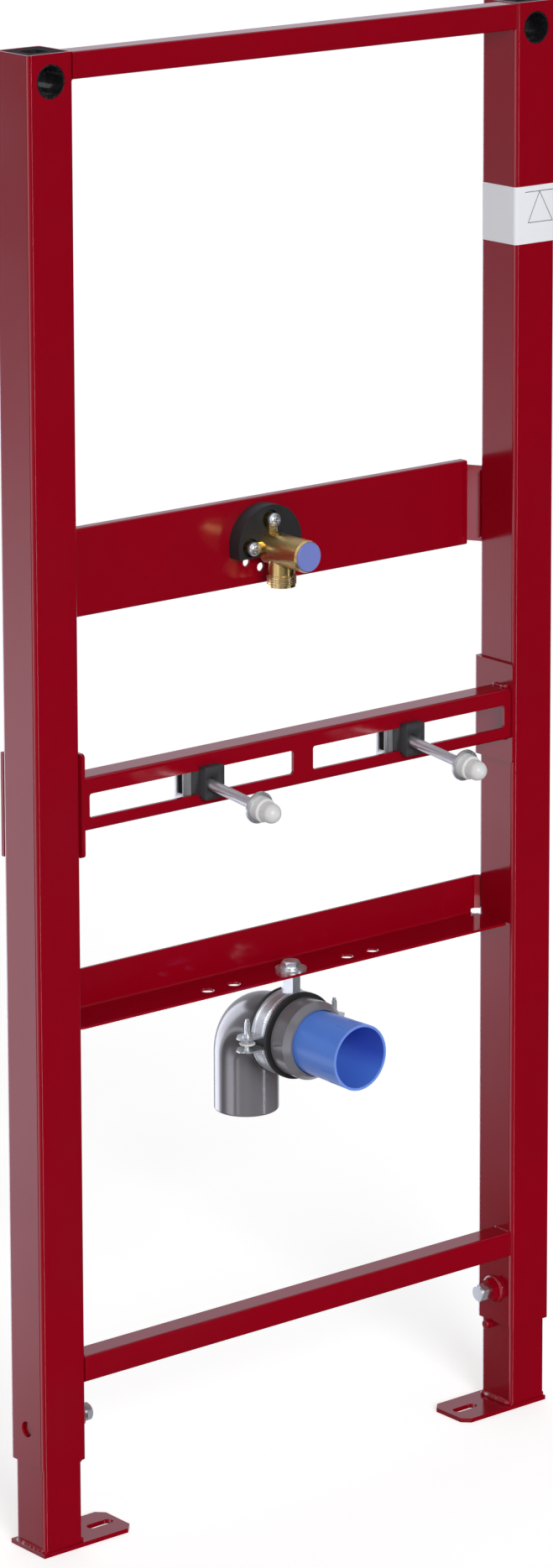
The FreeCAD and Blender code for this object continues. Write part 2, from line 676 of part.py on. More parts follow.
def stud_clip():
    """Plastic clip, a head with a round recess before the slot and a block in the cage."""
    web_front = BAR_Y0
    web_back = BAR_Y0 + CHANNEL_T
    w = CLIP_W / 2.0
    h = CLIP_H / 2.0
    z = SLOT_Z
    left = -CLIP_HEAD_LEFT
    head = box(left, CLIP_HEAD_RIGHT, CLIP_FRONT, web_front - SEAT, z - h, z + h)
    head = head.makeFillet(1.2, long_edges(head, V(0, 1, 0), 5))
    head = head.makeChamfer(0.4, [e for e in head.Edges if e.BoundBox.YMax < CLIP_FRONT + 0.1])
    clip = head.cut(rod(CLIP_RECESS_R, V(0, CLIP_FRONT - 1, z), V(0, 1, 0), 6.0))
    neck_h = SLOT_H / 2.0 - 0.3
    inside = web_back + 2 * SEAT + CAGE_T
    clip = clip.fuse(box(left, w, web_front - 1, inside + SEAT, z - neck_h, z + neck_h))
    clip = clip.fuse(box(-w, w, web_front, inside + SEAT, z - neck_h, z + neck_h))
    back = web_back + 2 * SEAT + CAGE_DEPTH - CAGE_T - SEAT
    core_h = CAGE_H / 2.0 - CAGE_T - SEAT
    core_left = CAGE_LEFT + CAGE_T + SEAT
    clip = clip.fuse(box(core_left, w - 0.5, inside + SEAT, back, z - core_h, z + core_h))
    return clip.cut(stud_bore(CLIP_FRONT - 1, 40)).removeSplitter()


def slide_cage():
    """Metal cage behind the web, open to the right, with a window in front."""
    y0 = BAR_Y0 + CHANNEL_T + 2 * SEAT
    y1 = y0 + CAGE_DEPTH
    z0 = SLOT_Z - CAGE_H / 2.0
    z1 = z0 + CAGE_H
    t = CAGE_T
    cage = box(CAGE_LEFT, CAGE_RIGHT, y0, y1, z0, z1)
    cage = cage.makeFillet(2.0, long_edges(cage, V(1, 0, 0), 20))
    cage = cage.cut(box(CAGE_LEFT + t, CAGE_RIGHT + 1, y0 + t, y1 - t, z0 + t, z1 - t))
    front_end = -CLIP_W / 2.0 - 1.5
    cage = cage.cut(box(front_end, CAGE_RIGHT + 1, y0 - 1, y0 + t, z0 - 1, z1 + 1))
    left = CAGE_LEFT + 3.0
    window = rounded_face(CAGE_WINDOW, SLOT_H - 3.0, 1.0).extrude(V(0, 0, t + 2))
    window.rotate(V(0, 0, 0), V(1, 0, 0), 90)
    window.translate(V(left + CAGE_WINDOW / 2.0, y0 + t + 1, SLOT_Z))
    cage = cage.cut(window)
    return cage.cut(stud_bore(y1 - t - 2, t + 4))


def stud(washer_y):
    """Rod of the thread size that carries the urinal."""
    end = BAR_Y0 + CHANNEL_T + CAGE_DEPTH + 1.2
    tip = washer_y - WASHER_T - 12.0
    return drooped(rod(STUD_R, V(0, tip, SLOT_Z), V(0, 1, 0), end - tip))


def stud_washer(washer_y):
    """Washer on the rod."""
    base = V(0, washer_y - WASHER_T, SLOT_Z)
    disc = rod(WASHER_R, base, V(0, 1, 0), WASHER_T)
    disc = disc.cut(rod(STUD_R + SEAT, base - V(0, 1, 0), V(0, 1, 0), WASHER_T + 2))
    return drooped(disc)


def cap_nut(washer_y):
    """Domed plastic cap nut on the end of the rod."""
    y0 = washer_y - WASHER_T
    z = SLOT_Z
    base = rod(CAP_BASE_R, V(0, y0 - 7.0, z), V(0, 1, 0), 7.0)
    base = base.makeFillet(1.2, [e for e in base.Edges if e.BoundBox.YMax < y0 - 6.9])
    r = CAP_DOME_R
    post = rod(r, V(0, y0 - 13.0, z), V(0, 1, 0), 7.0)
    dome = Part.makeSphere(r, V(0, y0 - 13.0, z))
    dome = dome.common(box(-r, r, y0 - 13.0 - r, y0 - 13.0, z - r, z + r))
    nut = base.fuse(post).fuse(dome).removeSplitter()
    depth = 12.0 + SEAT
    nut = nut.cut(rod(STUD_R + SEAT, V(0, y0 - depth, z), V(0, 1, 0), depth + 1))
    return drooped(nut)


def stud_set(side, x, washer_y, parts):
    """Clip, cage, rod, washer and cap nut of one fixing, moved to its place."""
    pieces = {"stud_clip": stud_clip(), "slide_cage": slide_cage()}
    pieces["stud"] = stud(washer_y)
    pieces["stud_washer"] = stud_washer(washer_y)
    pieces["cap_nut"] = cap_nut(washer_y)
    for name, shape in pieces.items():
        shape.translate(V(x, 0, 0))
        parts[side + name] = shape


def leg():
    """Right inner tube that slides in the upright."""
    tube = square_tube(LEG, LEG, LEG_T, LEG_R, LEG_TOP - FLOOR_PLATE_T)
    tube.translate(V(POST_X, UPRIGHT_Y, FLOOR_PLATE_T))
    return tube


def foot_plate():
    """Right foot plate with cut corners and one slot."""
    c = FOOT_CUT
    outline = [(FOOT_INNER + c, FOOT_Y0), (FOOT_OUTER, FOOT_Y0), (FOOT_OUTER, FOOT_Y1)]
    outline += [(FOOT_INNER + c, FOOT_Y1), (FOOT_INNER, FOOT_Y1 - c), (FOOT_INNER, FOOT_Y0 + c)]
    plate = polygon_z(outline, 0, FLOOR_PLATE_T)
    half = (FOOT_SLOT_L - FOOT_SLOT_W) / 2.0
    r = FOOT_SLOT_W / 2.0
    slot = box(FOOT_SLOT_X - half, FOOT_SLOT_X + half, -r, r, -1, FLOOR_PLATE_T + 1)
    for x in (FOOT_SLOT_X - half, FOOT_SLOT_X + half):
        slot = slot.fuse(rod(r, V(x, 0, -1), V(0, 0, 1), FLOOR_PLATE_T + 2))
    return plate.cut(slot.removeSplitter())


def lock_nut():
    """Right nut with a round boss on the inner face of the upright."""
    nut = hexagon(HEX_LOCK_NUT, V(INNER_X, UPRIGHT_Y, LOCK_Z), V(-1, 0, 0), 8.0, 0.0)
    boss = rod(11.0, V(INNER_X - 2.5, UPRIGHT_Y, LOCK_Z), V(1, 0, 0), 2.5)
    boss = boss.makeFillet(1.5, [e for e in boss.Edges if e.BoundBox.XMax < INNER_X - 2])
    bore = rod(BOLT_R + SEAT, V(INNER_X - 10, UPRIGHT_Y, LOCK_Z), V(1, 0, 0), 12)
    return nut.fuse(boss).cut(bore).removeSplitter()


def lock_bolt():
    """Right hexagon bolt that presses on the leg."""
    tip = POST_X - LEG / 2.0 - 0.2
    under = INNER_X - 12.0
    shank = rod(BOLT_R, V(under, UPRIGHT_Y, LOCK_Z), V(1, 0, 0), tip - under)
    head = hexagon(HEX_M8, V(under - 5.5, UPRIGHT_Y, LOCK_Z), V(1, 0, 0), 5.5, 0.0)
    cone = Part.makeCone(5.6, 11.0, 6.5, V(under - 5.7, UPRIGHT_Y, LOCK_Z), V(1, 0, 0))
    return head.common(cone).fuse(shank).removeSplitter()


def stop_pin(side):
    """Small pin on the right leg just under the upright, back or front of its middle."""
    r = 3.6
    face = POST_X - LEG / 2.0
    base = V(face - 6.0, UPRIGHT_Y + 7.0 * side, UPRIGHT_BOTTOM - r - 0.2)
    pin = rod(r, base, V(1, 0, 0), 6.0)
    return pin.makeFillet(0.8, [e for e in pin.Edges if e.BoundBox.XMax < face - 5.5])


def pair(name, shape, parts):
    """Store a right-hand piece and its mirrored left-hand twin."""
    parts["right_" + name] = shape
    parts["left_" + name] = mirrored(shape)


def build():
    """Make every piece of the frame by name."""
    parts = {}
    pair("upright", upright(), parts)
    pair("top_plug", top_plug(), parts)
    pair("bracket", bracket(), parts)
    stud_set("left_", STUD_LEFT_X, STUD_LEFT_WASHER_Y, parts)
    stud_set("right_", STUD_RIGHT_X, STUD_RIGHT_WASHER_Y, parts)
    pair("leg", leg(), parts)
    pair("foot_plate", foot_plate(), parts)
    parts["right_stop_pin"] = stop_pin(1)
    parts["left_stop_pin"] = mirrored(stop_pin(-1))
    pair("lock_nut", lock_nut(), parts)
    pair("lock_bolt", lock_bolt(), parts)
    pair("clamp_screw", clamp_screw(), parts)
    pair("clamp_ring", clamp_ring(), parts)
    parts["top_bar"] = cross_tube(TOP_BAR_Z)
    parts["bottom_bar"] = cross_tube(BOTTOM_BAR_Z)
    parts["fixing_channel"] = fixing_channel()
    parts["valve_plate"] = valve_plate()
    parts["valve_backing"] = valve_backing()
    parts["valve_elbow"] = valve_elbow()
    parts["valve_cap"] = valve_cap()
    names = ["valve_screw_top", "valve_screw_left"]
    for name, place in zip(names, valve_screw_places()):
        parts[name] = valve_screw(place[0], place[1])
    parts["drain_angle"] = drain_angle()
    parts["hanging_bolt"] = hanging_bolt()
    parts["hanging_washer"] = hanging_washer()
    parts["clamp_coupling"] = clamp_coupling()
    parts["clamp_upper_band"] = clamp_half(1)
    parts["clamp_lower_band"] = clamp_half(-1)
    parts["clamp_lining"] = clamp_lining()
    parts["drain_elbow"] = drain_elbow()
    parts["drain_collar"] = drain_collar()
    parts["drain_plug"] = drain_plug()
    return parts


def write(parts):
    """Write one STEP file per piece and list its size."""
    os.makedirs("parts", exist_ok=True)
    for name in sorted(parts):
        shape = parts[name]
        shape.exportStep("parts/" + name + ".step")
        b = shape.BoundBox
        print(name, len(shape.Solids), shape.isValid(), round(shape.Volume), b)


write(build())
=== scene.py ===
import math
import random

import bpy
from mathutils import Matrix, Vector


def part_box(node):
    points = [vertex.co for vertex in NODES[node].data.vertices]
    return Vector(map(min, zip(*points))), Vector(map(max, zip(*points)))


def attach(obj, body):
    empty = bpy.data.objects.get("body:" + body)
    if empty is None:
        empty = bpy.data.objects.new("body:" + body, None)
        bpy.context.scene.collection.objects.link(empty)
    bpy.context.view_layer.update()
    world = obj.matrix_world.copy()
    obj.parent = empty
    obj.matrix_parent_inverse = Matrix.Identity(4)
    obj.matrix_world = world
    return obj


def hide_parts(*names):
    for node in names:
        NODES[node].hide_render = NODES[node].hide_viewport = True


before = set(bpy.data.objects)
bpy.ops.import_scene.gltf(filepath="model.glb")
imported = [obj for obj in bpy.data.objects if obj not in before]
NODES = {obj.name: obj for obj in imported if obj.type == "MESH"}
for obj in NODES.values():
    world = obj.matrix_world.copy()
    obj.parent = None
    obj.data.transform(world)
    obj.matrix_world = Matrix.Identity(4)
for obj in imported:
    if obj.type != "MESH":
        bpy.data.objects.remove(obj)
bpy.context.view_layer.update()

MM = 0.001
SIDES = ((1, "right"), (-1, "left"))

# Places on the solids in metres, which the finishes follow.
DRAIN_Z = 0.3508
PLUG_MOUTH = -0.0874
PLUG_WALL = 0.0243
PLUG_TAPER = 0.0202
PLUG_RIM = 0.0007
BAND_Y = -0.006
BAND_GROOVE = 0.0047
INSERT_TOP = 1.118

# The right upright's faces in metres, which the label lies on.
POST_LEFT, POST_RIGHT = 0.210, 0.250
POST_FRONT, POST_BACK = -0.022, 0.018
POST_CORNER = 3.0 * MM
PRINT_GAP = 0.02 * MM
PRINT_T = 0.03 * MM

# The valve's barrel and neck, and the clamp screws, in millimetres.
BARREL_R = 12.15
BARREL_Z = 723.6
BARREL_BACK = 15.0
NECK_R = 10.52
NECK_Y = 3.5
NECK_THREAD_Z = 697.2
SCREW_R = 2.02
SCREW_X = 42.5
SCREW_Y = -6.0
SCREW_THREAD_Z = 358.2

# Shares of a weld bead's radius: its first and last ring, and the way between rings.
BEAD_END = 0.55
BEAD_STEP = 0.62

# The ring of weld round a lock nut, in millimetres.
NUT_RING_X = 209.6
NUT_RING_R = 10.6
NUT_RING_POINTS = 14

# The casting seam: its place below the barrel's side in degrees, its radius and the
# length of a step in millimetres, its steps, and how its girth ends and varies.
SEAM_ANGLE = 34.0
SEAM_R = 0.42
SEAM_STEP = 1.55
SEAM_STEPS = 26
SEAM_END = 0.25
SEAM_UNEVEN = 0.28

# How far cage and clip reach left of the rod, and the cage's end, in millimetres.
CAGE_REACH = 15.3
CLIP_REACH = 13.4
END_MARGIN = 1.2
END_RIM = 3.0
END_WINDOW = 16.5
END_T = 1.1
END_BEVEL = 0.3

# Levels of the soft boxes that glossy surfaces mirror, and of the floor's own white.
SIDE_BOX = 2.2
BACK_BOX = 4.0
BACK_GLOW = 1.55
FRONT_STRIP = 9.0
CEILING = 0.6
FLOOR_SIZE = 90.0
FLOOR_GLOW = 0.56

# The photo's own lens shift is larger. It would push the object out of other views.
SHIFT_X, SHIFT_Y = -0.06, -0.30

bl_info = {
    "name": "Urinal Mounting Frame",
    "version": (1, 0, 0),
    "blender": (4, 5, 0),
    "location": "3D View > Sidebar > Frame",
    "description": "Paint, plating, weld beads, label, threads and stage for a urinal frame",
    "category": "Object",
}


class FrameColours(bpy.types.PropertyGroup):
    """Colours of the finishes, linear."""

    def tint(label, note, value):
        return bpy.props.FloatVectorProperty(
            name=label, description=note, default=value, subtype="COLOR", size=3, min=0, max=1
        )

    paint: tint("Paint", "Powder coat on the welded frame", (0.302, 0.0002, 0.0090))
    paint_deep: tint("Deep paint", "Thicker parts of the coat", (0.245, 0.0002, 0.0075))
    zinc: tint("Zinc", "Bright zinc plate", (0.70, 0.71, 0.71))
    zinc_blue: tint("Blue zinc", "Bluish flecks of the plating", (0.52, 0.56, 0.59))
    brass: tint("Brass", "Cast and turned brass", (0.76, 0.55, 0.23))
    brass_dull: tint("Dull brass", "Sand-cast skin of the brass", (0.46, 0.32, 0.110))
    cap: tint("Valve cap", "Protection cap in the valve", (0.190, 0.235, 0.640))
    plug: tint("Drain plug", "Protection plug in the drain", (0.105, 0.275, 0.900))
    # Painted shade: the darker blue of the plug's inner wall.
    plug_inside_shade: tint("Inside of the plug", "Shaded inner wall of the plug", (0.062, 0.132, 0.680))
    pipe: tint("Waste pipe", "Grey moulded pipe", (0.186, 0.181, 0.196))
    white: tint("White plastic", "Cap nuts and clamp rings", (0.800, 0.805, 0.800))
    black: tint("Black plastic", "Clips and tube inserts", (0.012, 0.012, 0.014))
    rubber: tint("Black rubber", "Clamp lining and valve backing", (0.012, 0.012, 0.013))
    label: tint("Label", "Film of the height label", (0.880, 0.890, 0.930))
    mark: tint("Mark", "Printed level mark", (0.020, 0.020, 0.030))


class FrameSizes(bpy.types.PropertyGroup):
    """Sizes of the small forms that the scene adds."""

    def length(label, note, millimetres):
        return bpy.props.FloatProperty(
            name=label, description=note, default=millimetres * MM, unit="LENGTH", min=0.0
        )

    foot_bead: length("Foot bead", "Radius of the weld along a foot", 2.3)
    bar_bead: length("Bar bead", "Radius of the weld at a bar end", 0.75)
    bracket_bead: length("Bracket bead", "Radius of the weld on the channel", 2.0)
    nut_bead: length("Nut bead", "Radius of the weld round a lock nut", 1.7)
    label_low: length("Label foot", "Height of the label's lower edge", 934.6)
    label_high: length("Label top", "Height of the label's upper edge", 979.0)
    film: length("Film", "Thickness of the label", 0.12)
    mark_line: length("Mark line", "Width of the printed line", 0.5)
    neck_pitch: length("Neck pitch", "Thread pitch on the brass neck", 1.814)
    screw_pitch: length("Screw pitch", "Thread pitch of the clamp screws", 0.7)


class FrameStage(bpy.types.PropertyGroup):
    """Camera and light."""

    place: bpy.props.FloatVectorProperty(
        name="Camera place",
        description="Where the camera stands",
        default=(-2.6025, -3.1783, 1.6525),
        subtype="TRANSLATION",
        unit="LENGTH",
    )
    heading: bpy.props.FloatProperty(
        name="Heading",
        description="Turn of the view to the right of the wall's normal",
        default=math.radians(40.2074),
        unit="ROTATION",
    )
    dip: bpy.props.FloatProperty(
        name="Dip",
        description="How far the view points below the horizon",
        default=math.radians(10.3338),
        unit="ROTATION",
    )
    lens: bpy.props.FloatProperty(
        name="Lens", description="Focal length in millimetres", default=129.37, min=10
    )
    ambient: bpy.props.FloatProperty(
        name="Ambient", description="Level of the light from all round", default=0.30, min=0
    )
    key: bpy.props.FloatProperty(
        name="Key", description="Strength of the frontal light", default=1.88, min=0
    )
    fill: bpy.props.FloatProperty(
        name="Fill", description="Strength of the light from behind", default=0.45, min=0
    )


def colours():
    """The colours that the panel shows."""
    return bpy.context.scene.frame_colours


def sizes():
    """The sizes that the panel shows."""
    return bpy.context.scene.frame_sizes


class Wire:
    """A node socket that takes part in sums: each operator adds its Math node."""

    def __init__(self, tree, socket):
        self.tree = tree
        self.socket = socket

    def math(self, operation, other, turned=False):
        """Adds one Math node; turned puts the other value first."""
        node = self.tree.nodes.new("ShaderNodeMath")
        node.operation = operation
        pair = (other, self) if turned else (self, other)
        for place, value in zip(node.inputs, pair):
            if isinstance(value, Wire):
                self.tree.links.new(value.socket, place)
            elif value is not None:
                place.default_value = value
        return Wire(self.tree, node.outputs[0])

    def __add__(self, other):
        return self.math("ADD", other)

    def __radd__(self, other):
        return self.math("ADD", other, True)

    def __sub__(self, other):
        return self.math("SUBTRACT", other)

    def __rsub__(self, other):
        return self.math("SUBTRACT", other, True)

    def __mul__(self, other):
        return self.math("MULTIPLY", other)

    def __rmul__(self, other):
        return self.math("MULTIPLY", other, True)

    def __gt__(self, other):
        return self.math("GREATER_THAN", other)

    def __lt__(self, other):
        return self.math("LESS_THAN", other)

    def top(self, other):
        """The larger of two values."""
        return self.math("MAXIMUM", other)

    def size(self):
        """The value without its sign."""
        return self.math("ABSOLUTE", None)


class Board:
    """A node tree with one method that adds any node."""

    def __init__(self, tree):
        self.tree = tree
        tree.nodes.clear()

    def node(self, kind, inputs=None, output=0, stops=None, **settings):
        """Adds a node from its settings and ramp stops, then its inputs."""
        made = self.tree.nodes.new(kind)
        for key, value in settings.items():
            setattr(made, key, value)
        if stops:
            ramp = made.color_ramp
            while len(ramp.elements) < len(stops):
                ramp.elements.new(0.5)
            for element, (place, shade) in zip(ramp.elements, stops):
                element.position = place
                element.color = (shade, shade, shade, 1.0)
        for key, value in (inputs or {}).items():
            if isinstance(value, Wire):
                self.tree.links.new(value.socket, made.inputs[key])
            else:
                made.inputs[key].default_value = value
        return Wire(self.tree, made.outputs[output])


def rgba(colour):
    """A colour with full alpha."""
    return (colour[0], colour[1], colour[2], 1.0)


class Finish(Board):
    """A material on one Principled shader, with patterns in Object coordinates."""

    def __init__(self, name, roughness=0.5, metallic=0.0, **constants):
        self.material = bpy.data.materials.new(name)
        self.material.use_nodes = True
        super().__init__(self.material.node_tree)
        self.shader = self.tree.nodes.new("ShaderNodeBsdfPrincipled")
        end = self.tree.nodes.new("ShaderNodeOutputMaterial")
        self.tree.links.new(self.shader.outputs[0], end.inputs["Surface"])
        self.feed("Roughness", roughness)
        self.feed("Metallic", metallic)
        for key, value in constants.items():
            self.feed(key.replace("_", " "), value)
        self.place = self.node("ShaderNodeTexCoord", output="Object")

    def feed(self, key, value):
        """Links or sets one socket of the shader."""
        if isinstance(value, Wire):
            self.tree.links.new(value.socket, self.shader.inputs[key])
        else:
            self.shader.inputs[key].default_value = value

    def axis(self, index):
        """One coordinate of the surface point, in metres."""
        return self.node("ShaderNodeSeparateXYZ", {"Vector": self.place}, output=index)

    def noise(self, scale, detail=2.0, rough=0.5):
        """Soft noise between 0 and 1, finer for a larger scale."""
        inputs = {"Vector": self.place, "Scale": scale, "Detail": detail, "Roughness": rough}
        return self.node("ShaderNodeTexNoise", inputs)

    def cells(self, scale):
        """Distance to the middle of the nearest cell."""
        inputs = {"Vector": self.place, "Scale": scale}
        return self.node("ShaderNodeTexVoronoi", inputs, output="Distance")

    def ramp(self, value, low, high):
        """0 up to the low stop and 1 from the high stop."""
        return self.node("ShaderNodeValToRGB", {"Fac": value}, stops=[(low, 0.0), (high, 1.0)])

    def mix(self, mask, first, second):
        """The first colour where the mask is 0, the second where it is 1."""
        inputs = {0: mask, 6: first, 7: second}
        return self.node("ShaderNodeMix", inputs, output=2, data_type="RGBA")

    def bump(self, height, strength, distance):
        """Feeds the relief and gives back the finish."""
        inputs = {"Height": height, "Strength": strength, "Distance": distance}
        self.feed("Normal", self.node("ShaderNodeBump", inputs))
        return self


def red_paint(weld=False):
    """Glossy powder coat: slow drift of thickness, orange peel and a few nibs."""
    coat = Finish("weld" if weld else "red_paint", IOR=1.5)
    hues = colours()
    drift = coat.ramp(coat.noise(9.0, 2.0), 0.35, 0.70)
    peel = coat.noise(420.0, 2.0, 0.55)
    nibs = coat.ramp(coat.cells(120.0), 0.035, 0.0)
    base = coat.mix(drift * 0.45, rgba(hues.paint), rgba(hues.paint_deep))
    coat.feed("Base Color", base)
    if weld:
        coat.feed("Roughness", 0.10 + 0.12 * coat.noise(700.0))
        ripple = coat.noise(520.0, 3.0, 0.6)
        return coat.bump(ripple + 0.3 * peel, 0.30, 0.0005).material
    coat.feed("Roughness", 0.09 + 0.05 * drift + 0.04 * peel)
    return coat.bump(peel * 0.35 + nibs * 0.25, 0.10, 0.0003).material


def zinc_plate():
    """Bright zinc with faint flecks and clouds."""
    hues = colours()
    skin = Finish("zinc", metallic=0.86)
    fleck = skin.noise(900.0, 2.0)
    cloud = skin.noise(60.0, 3.0)
    base = skin.mix(fleck * 0.25 + cloud * 0.45, rgba(hues.zinc), rgba(hues.zinc_blue))
    skin.feed("Base Color", base)
    skin.feed("Roughness", 0.19 + 0.16 * cloud + 0.07 * fleck)
    return skin.bump(skin.noise(900.0, 2.0), 0.16, 0.0002).material


def brass_body():
    """Sand-cast brass, brighter and smoother where it was turned."""
    hues = colours()
    skin = Finish("brass", metallic=1.0)
    sand = skin.noise(520.0, 3.0, 0.6)
    cloud = skin.ramp(skin.noise(55.0, 2.0), 0.35, 0.7)
    base = skin.mix(cloud * 0.6 + sand * 0.25, rgba(hues.brass), rgba(hues.brass_dull))
    skin.feed("Base Color", base)
    skin.feed("Roughness", 0.20 + 0.14 * sand + 0.08 * cloud)
    return skin.bump(sand, 0.26, 0.0004).material


def moulded(name, tone, rough, grain, strength, second=None, **constants):
    """Moulded plastic or rubber: fine grain, slow flow marks and uneven gloss."""
    skin = Finish(name, **constants)
    flow = skin.ramp(skin.noise(26.0, 2.0), 0.3, 0.75)
    fine = skin.noise(grain, 3.0, 0.6)
    darker = second or [part * 0.86 for part in tone]
    skin.feed("Base Color", skin.mix(flow * 0.5 + fine * 0.3, rgba(tone), rgba(darker)))
    skin.feed("Roughness", rough + 0.05 * flow + 0.06 * fine)
    return skin.bump(fine, strength, 0.0003).material


def plug_plastic():
    """Smooth blue plastic, with a painted highlight on the rim of the mouth and painted shade, a
    darker blue, on the inner wall.
    """
    hues = colours()
    skin = Finish("blue_plug", IOR=1.42)
    flow = skin.ramp(skin.noise(30.0, 2.0), 0.3, 0.75)
    fine = skin.noise(600.0, 2.0)
    centred = {"Vector": skin.place, "Location": (0.0, 0.0, -DRAIN_Z), "Scale": (1.0, 0.0, 1.0)}
    from_axis = skin.node("ShaderNodeMapping", centred)
    reach = skin.node(
        "ShaderNodeVectorMath", {0: from_axis}, output="Value", operation="LENGTH"
    )
    depth = skin.axis(1)
    # Painted shade: the inner wall is darkened to a deeper blue, fully in its upper half and only
    # a little low down.
    inside = reach < PLUG_WALL - (depth - PLUG_MOUTH) * PLUG_TAPER
    height = (skin.axis(2) - DRAIN_Z) * 30.0 + 0.5
    shaded = 0.15 + 0.85 * skin.ramp(height, 0.08, 0.44)
    # Painted highlight: the front rim of the mouth is lightened towards a pale blue.
    rim_highlight_mask = depth < PLUG_MOUTH + PLUG_RIM
    plain = skin.mix(flow * 0.3, rgba(hues.plug), rgba([c * 0.88 for c in hues.plug]))
    inner_shade_mix = skin.mix(inside * shaded, plain, rgba(hues.plug_inside_shade))
    pale = rgba([0.85 * c + 0.10 for c in hues.plug])
    skin.feed("Base Color", skin.mix(rim_highlight_mask * 0.75, inner_shade_mix, pale))
    skin.feed("Roughness", 0.26 + 0.06 * flow + 0.05 * fine)
    return skin.bump(fine, 0.05, 0.0002).material


def clamp_band():
    """Bright zinc band with a rolled groove along each side."""
    hues = colours()
    skin = Finish("clamp_band", metallic=0.80)
    cloud = skin.noise(60.0, 3.0)
    skin.feed("Base Color", skin.mix(cloud * 0.5, rgba(hues.zinc), rgba(hues.zinc_blue)))
    skin.feed("Roughness", 0.22 + 0.12 * cloud)
    across = (skin.axis(1) - BAND_Y).size()  # from the middle of the band
    groove = 1.0 - skin.ramp((across - BAND_GROOVE).size() * 1000.0, 0.25, 0.95)
    return skin.bump(1.0 - groove, 0.9, 0.0009).material


def insert_plastic():
    """Black plastic of the tube inserts, glossy in the bore and dusty on top."""
    hues = colours()
    skin = Finish("black_insert", IOR=1.45, Coat_Roughness=0.07)
    dust = skin.ramp(skin.noise(240.0, 4.0, 0.7), 0.50, 0.78)
    dusty = [0.55 * c + 0.035 for c in hues.black]
    skin.feed("Base Color", skin.mix(dust, rgba(hues.black), rgba(dusty)))
    upper = skin.axis(2) > INSERT_TOP
    skin.feed("Roughness", 0.24 + 0.20 * dust + 0.50 * upper)
    skin.feed("Specular IOR Level", 0.12)
    skin.feed("Coat Weight", 1.0 - upper)
    return skin.bump(skin.noise(420.0, 3.0), 0.30, 0.0006).material


def all_finishes():
    """Every finish by its name, which is a slot's name or a part of one."""
    hues = colours()
    # Painted shade: the cages in the channel get a darker copy of the zinc, which is also rougher.
    dull_shaded_zinc = [0.52 * c for c in hues.zinc]
    return {
        "red_paint": red_paint(),
        "weld": red_paint(weld=True),
        "zinc": zinc_plate(),
        "zinc_dull_shaded": moulded("zinc_dull_shaded", dull_shaded_zinc, 0.34, 700.0, 0.10, metallic=0.7),
        "brass": brass_body(),
        "blue_cap": moulded("blue_cap", hues.cap, 0.34, 500.0, 0.10),
        "blue_plug": plug_plastic(),
        "grey_pipe": moulded("grey_pipe", hues.pipe, 0.12, 420.0, 0.02, IOR=1.75),
        "white_plastic": moulded("white_plastic", hues.white, 0.28, 520.0, 0.05),
        "black_plastic": moulded("black_plastic", hues.black, 0.36, 600.0, 0.20),
        "clamp_band": clamp_band(),
        "black_insert": insert_plastic(),
        "black_rubber": moulded("black_rubber", hues.rubber, 0.55, 800.0, 0.30),
        "label": moulded("label", hues.label, 0.42, 900.0, 0.03, second=hues.label),
        "mark": moulded("mark", hues.mark, 0.50, 900.0, 0.03),
    }


# The finish of every CAD node that isn't painted red.
FINISH_NODES = {
    "zinc": (
        "clamp_coupling hanging_bolt hanging_washer "
        "left_clamp_screw left_lock_bolt left_slide_cage left_stud left_stud_washer "
        "right_clamp_screw right_lock_bolt right_slide_cage right_stud right_stud_washer "
        "valve_screw_left valve_screw_top"
    ),
    "clamp_band": "clamp_lower_band clamp_upper_band",
    "black_insert": "left_top_plug right_top_plug",
    "black_rubber": "clamp_lining valve_backing",
    "grey_pipe": "drain_collar drain_elbow",
    "blue_plug": "drain_plug",
    "white_plastic": "left_cap_nut left_clamp_ring right_cap_nut right_clamp_ring",
    "black_plastic": "left_stud_clip right_stud_clip",
    "blue_cap": "valve_cap",
    "brass": "valve_elbow",
}


def finish_of(node):
    """Name of a CAD node's finish."""
    for finish, members in FINISH_NODES.items():
        if node in members.split():
            return finish
    return "red_paint"


def clear_selection():
    """Object mode with nothing selected."""
    if bpy.context.object and bpy.context.object.mode != "OBJECT":
        bpy.ops.object.mode_set(mode="OBJECT")
    bpy.ops.object.select_all(action="DESELECT")


def named(name):
    """Names the primitive that was just added."""
    piece = bpy.context.object
    piece.name = name
    piece.data.name = name
    return piece


def edit(piece, kind="FACE"):
    """Edit mode on one piece with nothing selected."""
    clear_selection()
    piece.select_set(True)
    bpy.context.view_layer.objects.active = piece
    bpy.ops.object.mode_set(mode="EDIT")
    bpy.ops.mesh.select_mode(type=kind)
    bpy.ops.mesh.select_all(action="DESELECT")


def pick(piece, kind, test):
    """Edit mode with only the points, edges or faces that pass a test."""
    edit(piece, kind)
    bpy.ops.object.mode_set(mode="OBJECT")
    mesh = piece.data
    facts = {
        "VERT": [(point, [point.co]) for point in mesh.vertices],
        "EDGE": [(edge, [mesh.vertices[i].co for i in edge.vertices]) for edge in mesh.edges],
        "FACE": [(face, [face.center, face.normal]) for face in mesh.polygons],
    }
    for part, places in facts[kind]:
        part.select = bool(test(*places))
    bpy.ops.object.mode_set(mode="EDIT")


def apply_modifier(piece, kind, **settings):
    """Adds one modifier and applies it."""
    clear_selection()
    piece.select_set(True)
    bpy.context.view_layer.objects.active = piece
    added = piece.modifiers.new(kind.title(), kind)
    for key, value in settings.items():
        setattr(added, key, value)
    bpy.ops.object.modifier_apply(modifier=added.name)


